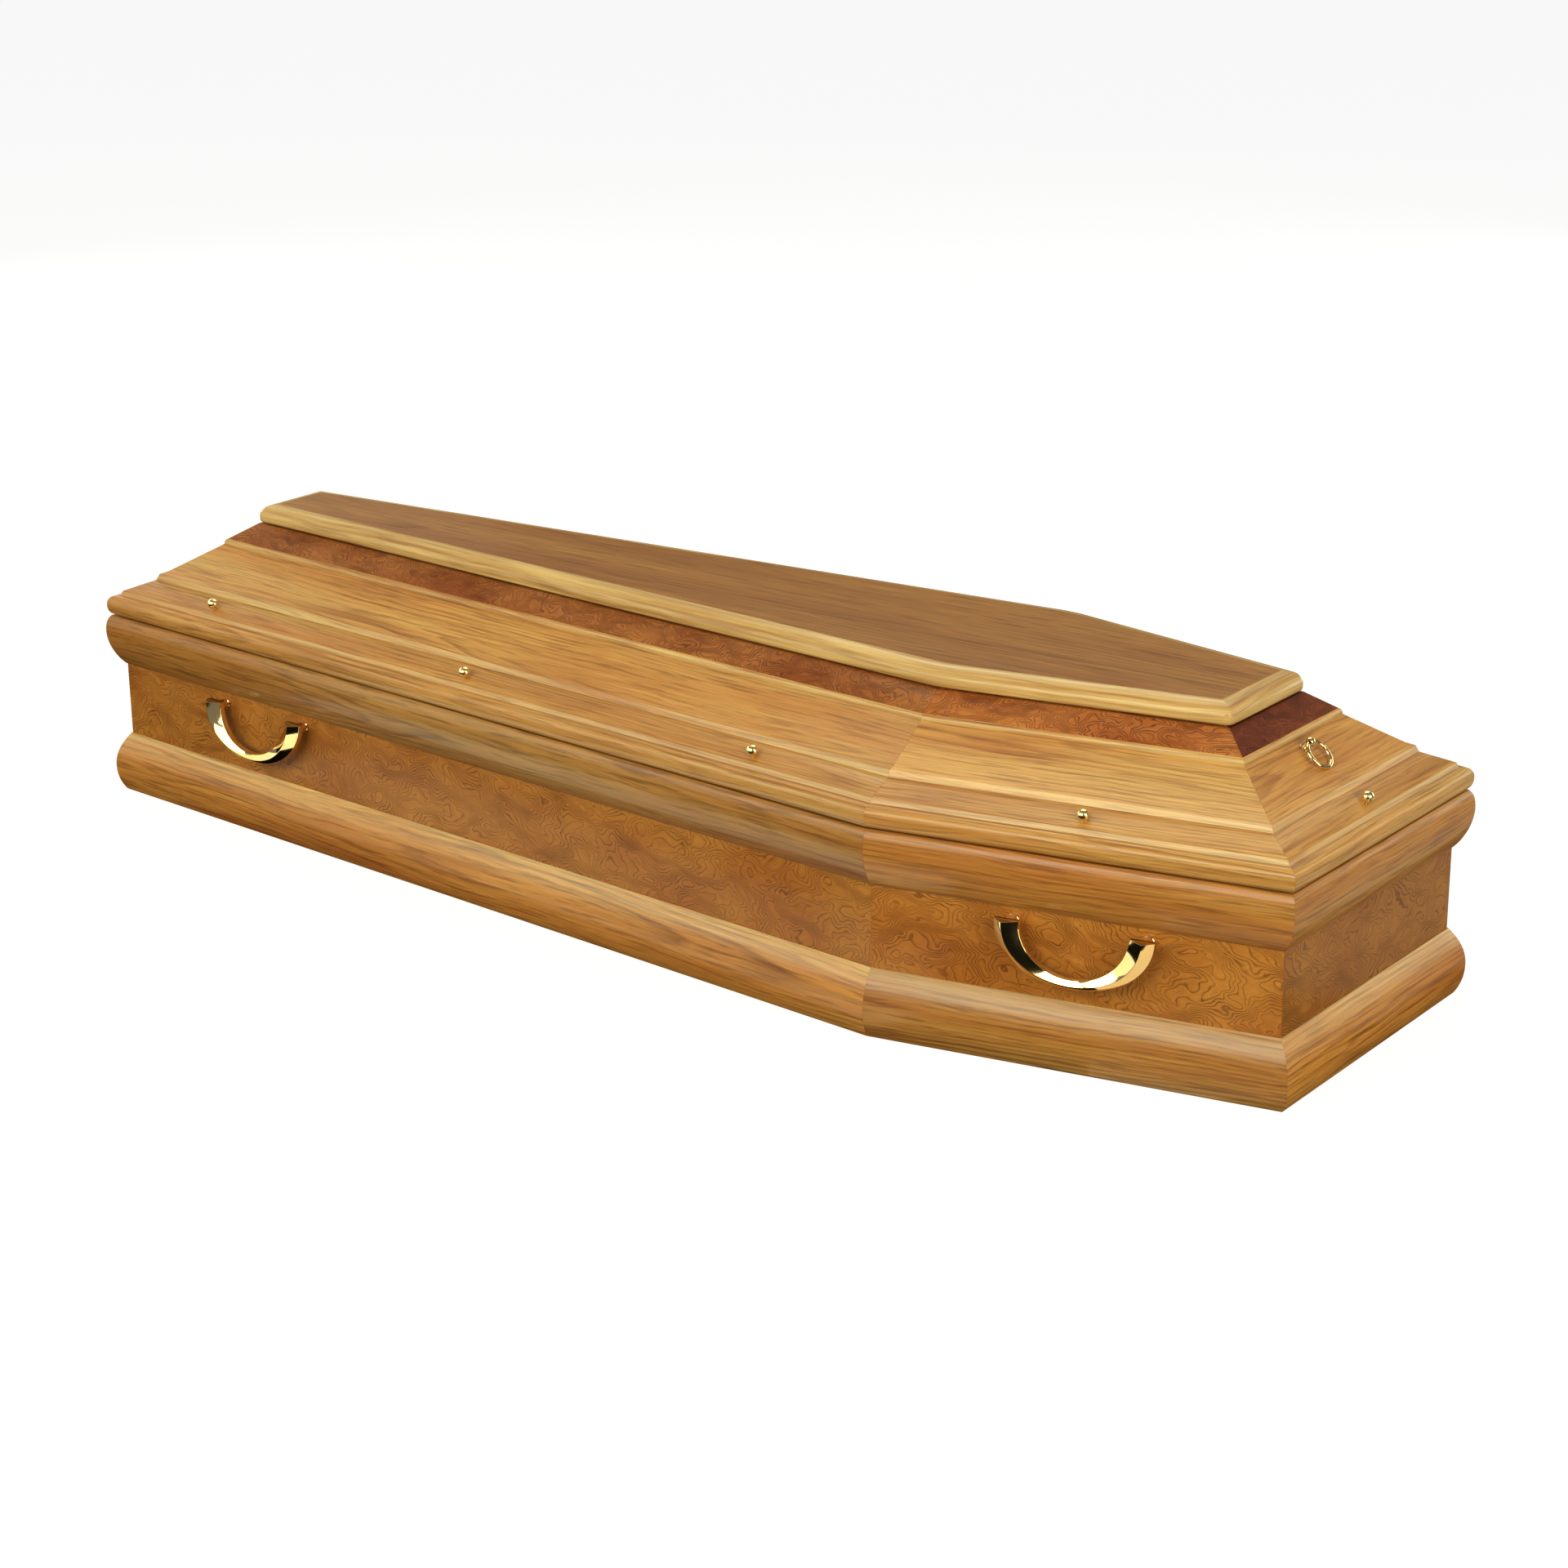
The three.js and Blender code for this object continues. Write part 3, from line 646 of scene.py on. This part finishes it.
def facet_highlight(a, b):
    """A painted cream highlight on the faces of a case moulding that look upwards towards the lamps,
    fading as they turn upright.
    """
    upward = (a[0] - b[0]) / max(math.dist(a, b), 1e-6)
    return FACET_HIGHLIGHT * min(max((upward - 0.3) / 0.45, 0), 1)


# Name, profile, slot, and where the middle of the grain lies: along the profile and below its face
STRIP_SETS = [
    ("base_moulding", base_profile, "oak", 40, 18),
    ("case_rim", rim_profile, "oak", 30, 16),
    ("lid_frame", frame_profile, "oak", 60, 10),
    ("lid_slope", slope_profile, "oak", 50, 12),
    ("lid_frieze", frieze_profile, "frieze_burr", 0, 0),
]


STRIP_OAKS = {"base_moulding": oak_base, "case_rim": oak_rim}
# The painted highlight of each set of strips: sets not listed take the risers' painted highlight, and the
# frieze none
STRIP_HIGHLIGHTS = {"base_moulding": facet_highlight, "lid_frieze": None}
HEART_SPREAD = 90
DEPTH_SPREAD = 30


def heart_of(set_index, side):
    """A share from 0 to 1 that differs for each strip and is the same on every run."""
    wave = math.sin(12.9898 * (set_index + 1) + 78.233 * (side + 1)) * 43758.5453
    return wave - math.floor(wave)


def strip_material(prefix, name):
    if prefix == "lid_frieze":
        return burr_frieze_dark if name == "head_end" else burr_frieze
    return STRIP_OAKS.get(prefix, oak_lid)


def mitred_strips():
    first_seed = 11
    for set_index, (prefix, profile, slot, heart, depth) in enumerate(STRIP_SETS):
        points = profile()
        highlight_of = STRIP_HIGHLIGHTS.get(prefix, riser_highlight)
        for side, name in enumerate(SIDES):
            share = heart_of(set_index, side)
            seed = first_seed + len(SIDES) * set_index + side
            piece = strip(f"{prefix}_{name}_worked", side, points, strip_material(prefix, name),
                          heart + HEART_SPREAD * (share - 0.5), depth + DEPTH_SPREAD * share, seed,
                          shade_of(prefix, name), highlight_of)
            take_place(piece, f"{prefix}_{name}")


# Top board, its corners rounded in plan, with a rounded band around its edge that takes a painted cream
# highlight
CORNER_RADII = [12, 170, 12, 12, 170, 12]
LEAST_RADIUS = 1.5
CORNER_STEPS = 8
BOARD_THICKNESS = 25
BAND_WIDTH = 24
BAND_FOOT = 9


def board_loop(offset, height, step_in):
    loop = []
    for corner in range(6):
        radius = max(CORNER_RADII[corner] - step_in, LEAST_RADIUS)
        before, after = along((corner + 5) % 6), along(corner)
        tip = corner_at(corner, offset)
        turn = math.acos(before.dot(after))
        cut = radius * math.tan(turn / 2)
        start = tip - before * cut
        centre = start + Vector((-before.y, before.x)) * radius
        spoke = Vector((before.y, -before.x)) * radius
        for k in range(CORNER_STEPS + 1):
            angle = turn * k / CORNER_STEPS
            cos, sin = math.cos(angle), math.sin(angle)
            point = centre + Vector((spoke.x * cos - spoke.y * sin, spoke.x * sin + spoke.y * cos))
            loop.append((point.x, point.y, height))
    return loop


def board_rings():
    """The board's edge from below: (step in from the nose, height, share of the painted cream highlight).
    """
    undercut, lip_width, lip_foot, lip_rise, lip_steps, band_steps = 6, 2.4, 0.4, 3.2, 6, 18
    rings = [(undercut, 0, 1)]
    for k in range(lip_steps + 1):
        angle = math.pi / 2 * k / lip_steps
        rings.append((lip_width * (1 - math.sin(angle)), lip_foot + lip_rise * (1 - math.cos(angle)), 1))
    rings.append((0, BAND_FOOT, 1))
    for k in range(1, band_steps + 1):
        angle = math.pi / 2 * k / band_steps
        height = BAND_FOOT + (BOARD_THICKNESS - BAND_FOOT) * math.sin(angle)
        rings.append((BAND_WIDTH * (1 - math.cos(angle)), height, 1))
    rings.append((BAND_WIDTH + 0.4, BOARD_THICKNESS, 0))
    return rings


def board_grain(mesh, vertices, loops, rings):
    """The band's grain runs around the board, and the flat's along it."""
    count = len(loops[0])
    around = running_lengths(loops[0] + [loops[0][0]])
    rise = running_lengths([ring[:2] for ring in rings])
    band_start, band_middle, band_depth = 37.1, 60, 0.03
    flat_start, flat_middle, flat_depth = 91.3, 28, 0.055
    grain = mesh.attributes.new("grain", "FLOAT_VECTOR", "CORNER")
    for face in mesh.polygons:
        places = [divmod(index, count) for index in face.vertices]
        closing = {i for ring, i in places} == {0, count - 1}
        for loop, index, (ring, i) in zip(face.loop_indices, face.vertices, places):
            if len(places) == 4:
                run = around[count if closing and i == 0 else i]
                place = (run * MM + band_start, (rise[ring] - band_middle) * MM, band_depth)
            else:
                x, y = vertices[index][:2]
                place = (x * MM + flat_start, (y + flat_middle) * MM, flat_depth)
            grain.data[loop].vector = place


def top_board():
    rings = board_rings()
    loops, painted_highlight = [], []
    for step_in, height, share in rings:
        loop = board_loop(TOP_BOARD_NOSE - step_in, TOP_BOARD_Z + height, step_in)
        loops.append(loop)
        painted_highlight += [(share, share, share)] * len(loop)
    vertices, faces = loft(loops)
    piece = new_piece("lid_top_worked", vertices, faces, None, oak_top)
    # The band takes the painted cream highlight, and the flat none.
    point_vectors(piece.data, "painted_highlight", painted_highlight)
    point_vectors(piece.data, "shade", [(1, 1, 1)] * len(vertices))
    board_grain(piece.data, vertices, loops, rings)
    take_place(piece, "lid_top")


# Fittings
def side_place(side, distance, offset, height):
    """A place given by how far it is along a side, out from the boards' outer faces, and up."""
    out = Vector((along(side).y, -along(side).x))
    plan = CORNERS[side] + along(side) * distance + out * offset
    return Vector((plan.x, plan.y, height))


def circle(radius, count):
    turns = (2 * math.pi * i / count for i in range(count))
    return [(radius * math.cos(angle), radius * math.sin(angle)) for angle in turns]


HANDLE_HALF = 85.5
HANDLE_TIP_HEIGHT = 189
HANDLE_STAND = 15


def grip_section(share):
    """The grip's section: bevelled to a ridge, and broader where share rises to 1 at its ends."""
    width, edge, ridge = 12 + 19.7 * share, 8 - 0.2 * share, 4 + 7.4 * share
    section = [(-width / 2, 0), (width / 2, 0), (width / 2, edge), (0.08 * width, edge + ridge),
               (-width / 2, edge)]
    return soften(section, 0.9, 5, 3)


def grip_loops(side, distance):
    """The grip hangs as half an oval, and ends level with a short straight stub."""
    drop, lean, steps, stub = 66, 8, 72, 0.5
    loops = []
    for k in range(steps + 1):
        angle = math.pi * k / steps
        cos, sin = math.cos(angle), math.sin(angle)
        section = grip_section(cos * cos)
        outward = Vector((-drop * cos, -HANDLE_HALF * sin)).normalized()
        centre = Vector((-HANDLE_HALF * cos, -drop * sin))
        if k in (0, steps):
            section = inset(section, stub)
        if k <= 1 or k >= steps - 1:
            end = -1 if k <= 1 else 1
            centre = Vector((end * HANDLE_HALF, 0 if k in (0, steps) else -stub))
            outward = Vector((end, 0))
            sin = 0
        loop = []
        for across, depth in section:
            point = centre + outward * across
            loop.append(tuple(side_place(side, distance + point.x, HANDLE_STAND + lean * sin + depth,
                                         HANDLE_TIP_HEIGHT + point.y)))
        loops.append(loop)
    return loops


def post_loops(side, distance):
    """A round post from the board into the grip, with a bevelled foot."""
    radius, foot_radius, foot, drop = 8, 8.6, 1.6, 9.1
    rings = [(foot_radius, GAP), (foot_radius, foot), (radius, foot + foot_radius - radius),
             (radius, HANDLE_STAND + 3)]
    loops = []
    for ring_radius, depth in rings:
        loops.append([tuple(side_place(side, distance + x, depth, HANDLE_TIP_HEIGHT - drop + y))
                      for x, y in circle(ring_radius, 32)])
    return loops


def bail(name, side, distance):
    vertices, faces = loft(grip_loops(side, distance))
    for end in (-1, 1):
        start = len(vertices)
        more, quads = loft(post_loops(side, distance + end * HANDLE_HALF))
        vertices += more
        faces += [tuple(start + i for i in quad) for quad in quads]
    piece = new_piece(f"{name}_polished", vertices, faces, None, brass_polished, 24)
    take_place(piece, name)


def bails():
    from_foot, from_shoulder = 311, 271
    bail("handle_near_leg", 0, from_foot)
    bail("handle_near_head", 1, from_shoulder)
    bail("handle_far_head", 3, side_length(3) - from_shoulder)
    bail("handle_far_leg", 4, side_length(4) - from_foot)


def stand_on(side, foot, top, distance, up_slope):
    """The matrix of a fitting that stands square on a slope."""
    foot, top = Vector(foot), Vector(top)
    up = (top - foot).normalized()
    out = Vector((up.y, -up.x))
    seat = foot + up * up_slope + out * GAP
    origin = side_place(side, distance, seat.x, seat.y)
    along_side = Vector((along(side).x, along(side).y, 0))
    outward = Vector((along(side).y, -along(side).x, 0))
    square = outward * out.x + Vector((0, 0, out.y))
    axes = Matrix((along_side, square, along_side.cross(square))).transposed().to_4x4()
    return Matrix.Translation(origin) @ axes


def ball_profile(flange, flange_thickness, neck, ball, centre, steps=22):
    """A ball on a round flange, as (radius, height) points, and the height of its top."""
    ease = 0.25
    radius = ball / 2
    start = math.asin(neck / 2 / radius)
    points = [(flange / 2 - 0.2, 0), (flange / 2, ease), (flange / 2, flange_thickness - ease),
              (flange / 2 - 0.3, flange_thickness), (neck / 2 + 0.3, flange_thickness)]
    for i in range(steps):
        angle = start + (math.pi - start) * i / steps
        points.append((radius * math.sin(angle), centre - radius * math.cos(angle)))
    return points, centre + radius


def turned(points, top, place):
    """A solid of revolution that closes in a point at the top."""
    count = 48
    loops = [[tuple(place @ Vector((x, height, z))) for x, z in circle(radius, count)]
             for radius, height in points]
    vertices, faces = loft(loops, caps=False)
    faces.append(tuple(range(count)))
    tip = len(vertices)
    vertices.append(tuple(place @ Vector((0, top, 0))))
    last = (len(loops) - 1) * count
    for i in range(count):
        faces.append((last + i, last + (i + 1) % count, tip))
    return vertices, faces


def knobs():
    points, top = ball_profile(flange=9.6, flange_thickness=0.8, neck=9, ball=15.6, centre=7.2)
    up_slope, from_shoulder = 16, 267
    places = []
    for index, distance in enumerate((195, 720, 1239)):
        places.append((f"near_leg_{index + 1}", 0, distance))
        places.append((f"far_leg_{index + 1}", 4, side_length(4) - distance))
    places += [("near_head", 1, from_shoulder), ("far_head", 3, side_length(3) - from_shoulder),
               ("head_end", 2, side_length(2) / 2), ("foot_end", 5, side_length(5) / 2)]
    for name, side, distance in places:
        place = stand_on(side, RISER_TOP, LOWER_TOP, distance, up_slope)
        vertices, faces = turned(points, top, place)
        piece = new_piece(f"knob_screw_{name}_polished", vertices, faces, None, brass_satin)
        take_place(piece, f"knob_screw_{name}")


RING_RADIUS = 18.4
RING_BAR = 2.6
RING_SEAT = 55
HOLE_HEIGHT = 11


def drill(piece, place, radius):
    """Cuts the eye's round hole, along the side."""
    reach = 12
    loops = [[tuple(place @ Vector((x, HOLE_HEIGHT + y, z))) for y, z in circle(radius, 48)]
             for x in (-reach, reach)]
    cutter = new_piece("hole_cutter", *loft(loops), None, brass_polished)
    cut = piece.modifiers.new("hole", "BOOLEAN")
    cut.operation = "DIFFERENCE"
    cut.solver = "EXACT"
    cut.object = cutter
    bpy.context.view_layer.update()
    graph = bpy.context.evaluated_depsgraph_get()
    holed = bpy.data.meshes.new_from_object(piece.evaluated_get(graph))
    piece.modifiers.clear()
    piece.data = holed
    piece.data.set_sharp_from_angle(angle=math.radians(30))
    bpy.data.objects.remove(cutter)


def ring_and_eye():
    place = stand_on(2, SLOPE_FOOT, SLOPE_TOP, side_length(2) / 2, RING_SEAT)
    points, top = ball_profile(flange=15, flange_thickness=1.6, neck=7.5, ball=12.4, centre=HOLE_HEIGHT)
    vertices, faces = turned(points, top, place)
    eye = new_piece("ring_eye_polished", vertices, faces, None, brass_polished)
    drill(eye, place, RING_BAR + 1)
    take_place(eye, "ring_eye")

    droop = math.asin((HOLE_HEIGHT - RING_BAR) / (2 * RING_RADIUS))
    hang = place @ Matrix.Translation((0, HOLE_HEIGHT, 0)) @ Matrix.Rotation(droop, 4, "X")
    loops = []
    turns, sides = 96, 24
    for k in range(turns):
        angle = 2 * math.pi * k / turns
        centre = Vector((RING_RADIUS * math.sin(angle), 0, RING_RADIUS - RING_RADIUS * math.cos(angle)))
        spoke = Vector((math.sin(angle), 0, -math.cos(angle)))
        loops.append([tuple(hang @ (centre + spoke * x + Vector((0, y, 0))))
                      for x, y in circle(RING_BAR, sides)])
    vertices, faces = loft(loops + [loops[0]], caps=False)
    last = turns * sides
    faces = [tuple(i - last if i >= last else i for i in face) for face in faces]
    piece = new_piece("drop_ring_polished", vertices[:last], faces, None, brass_polished)
    take_place(piece, "drop_ring", "ring")


case_boards()
mitred_strips()
top_board()
bails()
knobs()
ring_and_eye()

bottom = frame["nodes"]["case_bottom"]
bottom.data.materials.clear()
bottom.data.materials.append(inside_wood)


# Floor, backdrop, light and world
# The lights' tint, the stage's half width in metres, and how light and how bright its parts are
WARM = (0.97, 1, 0.76)
STAGE_REACH = 60
WORLD_LEVEL = 0.22
FLOOR_LEVEL = 0.14
FLOOR_GLOW = 0.9


def backdrop(name, vertices, faces, level, glow):
    """A pale surface that the camera sees, and that neither the lacquer nor the wood does."""
    mesh = bpy.data.meshes.new(name)
    mesh.from_pydata(vertices, [], faces)
    g = Graph(f"{name}_pale")
    g.shader.inputs["Base Color"].default_value = (level, level, level, 1)
    g.shader.inputs["Roughness"].default_value = 0.9
    g.shader.inputs["Specular IOR Level"].default_value = 0.1
    g.shader.inputs["Emission Color"].default_value = (1, 1, 1, 1)
    g.shader.inputs["Emission Strength"].default_value = glow
    mesh.materials.append(g.material)
    piece = bpy.data.objects.new(name, mesh)
    bpy.context.scene.collection.objects.link(piece)
    piece.visible_glossy = False
    piece.visible_diffuse = False
    return piece


def floor_and_walls():
    square = [(-STAGE_REACH, -STAGE_REACH), (STAGE_REACH, -STAGE_REACH),
              (STAGE_REACH, STAGE_REACH), (-STAGE_REACH, STAGE_REACH)]
    low = [(x, y, 0) for x, y in square]
    high = [(x, y, STAGE_REACH) for x, y in square]
    backdrop("floor", low, [(0, 1, 2, 3)], FLOOR_LEVEL, FLOOR_GLOW)
    faces = [(i, (i + 1) % 4, (i + 1) % 4 + 4, i + 4) for i in range(4)]
    walls = backdrop("walls", low + high, faces, 0, FLOOR_GLOW + FLOOR_LEVEL * WORLD_LEVEL)
    walls.visible_shadow = False


def aim(piece, place, target):
    piece.location = place
    piece.rotation_euler = (Vector(target) - Vector(place)).to_track_quat("-Z", "Y").to_euler()


def softbox(name, place, target, width, height, power):
    data = bpy.data.lights.new(name, "AREA")
    data.shape = "RECTANGLE"
    data.size = width
    data.size_y = height
    data.energy = power
    data.color = WARM
    lamp = bpy.data.objects.new(name, data)
    bpy.context.scene.collection.objects.link(lamp)
    aim(lamp, place, target)
    lamp.visible_camera = False


def card(name, place, target, width, height, material):
    """A card that only the lacquer and the brass reflect: the camera doesn't see it."""
    mesh = bpy.data.meshes.new(name)
    x, y = width / 2, height / 2
    mesh.from_pydata([(-x, -y, 0), (x, -y, 0), (x, y, 0), (-x, y, 0)], [], [(0, 1, 2, 3)])
    mesh.materials.append(material)
    piece = bpy.data.objects.new(name, mesh)
    bpy.context.scene.collection.objects.link(piece)
    aim(piece, place, target)
    piece.visible_camera = False
    piece.visible_shadow = False
    piece.visible_diffuse = False


def world():
    made = bpy.data.worlds.new("studio")
    made.use_nodes = True
    background = made.node_tree.nodes["Background"]
    background.inputs[0].default_value = (1, 1, 1, 1)
    background.inputs[1].default_value = WORLD_LEVEL
    bpy.context.scene.world = made
    bpy.context.scene.view_settings.view_transform = "Standard"


def plain_card(name, level, glow=0, tint=WARM):
    g = Graph(name)
    g.shader.inputs["Base Color"].default_value = (level, level, level, 1)
    g.shader.inputs["Roughness"].default_value = 1
    g.shader.inputs["Specular IOR Level"].default_value = 0
    g.shader.inputs["Emission Color"].default_value = (*tint, 1)
    g.shader.inputs["Emission Strength"].default_value = glow
    return g.material


dark_card = plain_card("card_dark", 0.01)
dim_card = plain_card("card_dim", 0.2, 0.3)
amber_card = plain_card("card_amber", 0.3, 0.7, (1, 0.78, 0.5))
bright_card = plain_card("card_bright", 0.5, 1)

# Name, place, the point it faces, width and height in metres, and power in watts
LIGHTS = [
    ("key_front", (0.4, -4.6, 2.7), (0, 0, 0.3), 2.6, 2.1, 150),
    ("key_left", (-2.7, -4.1, 2.35), (0, 0, 0.3), 3.6, 2.1, 105),
    ("key_right", (4.5, -1.5, 1.7), (0.2, 0, 0.3), 3.2, 2.6, 175),
    ("overhead", (-0.4, 0.9, 3.4), (0, 0, 0.3), 3.4, 0.9, 25),
    ("back_light", (-1.2, 3.4, 4.0), (0, 0, 0.3), 4.0, 1.6, 78),
    ("back_fill", (1.3, 5.0, 0.75), (0, 0, 0.2), 4.2, 1.2, 105),
    ("foot_fill", (-4.8, 1.2, 1.5), (0, 0, 0.2), 2.6, 1.6, 85),
]

# Name, place, the point it faces, width and height in metres, and material
CARDS = [
    ("card_under", (0, 0, -0.01), (0, 0, -1), 24, 24, dark_card),
    ("card_floor_near", (-0.2, -0.48, 0.002), (-0.2, -0.48, -1), 1.4, 0.24, bright_card),
    ("card_floor_right", (1.35, -0.36, 0.002), (1.35, -0.36, -1), 1.2, 0.24, amber_card),
    ("card_floor_head", (1.65, 0.95, 0.002), (1.65, 0.95, -1), 1.2, 1.7, dim_card),
    ("card_left", (-4.0, -2.4, 0.95), (0.8, -0.3, 0.95), 4.0, 1.9, bright_card),
    ("card_right", (3.5, -2.5, 1.0), (0.8, -0.3, 1.0), 2.4, 2.6, dark_card),
    ("card_front", (2.9, -3.9, 1.9), (0.8, -0.3, 1.9), 2.7, 4.0, dark_card),
    ("card_back", (-0.6, 5.2, 1.5), (-0.6, 0, 1.5), 9, 2.6, dark_card),
]

floor_and_walls()
for light in LIGHTS:
    softbox(*light)
for reflected in CARDS:
    card(*reflected)
world()
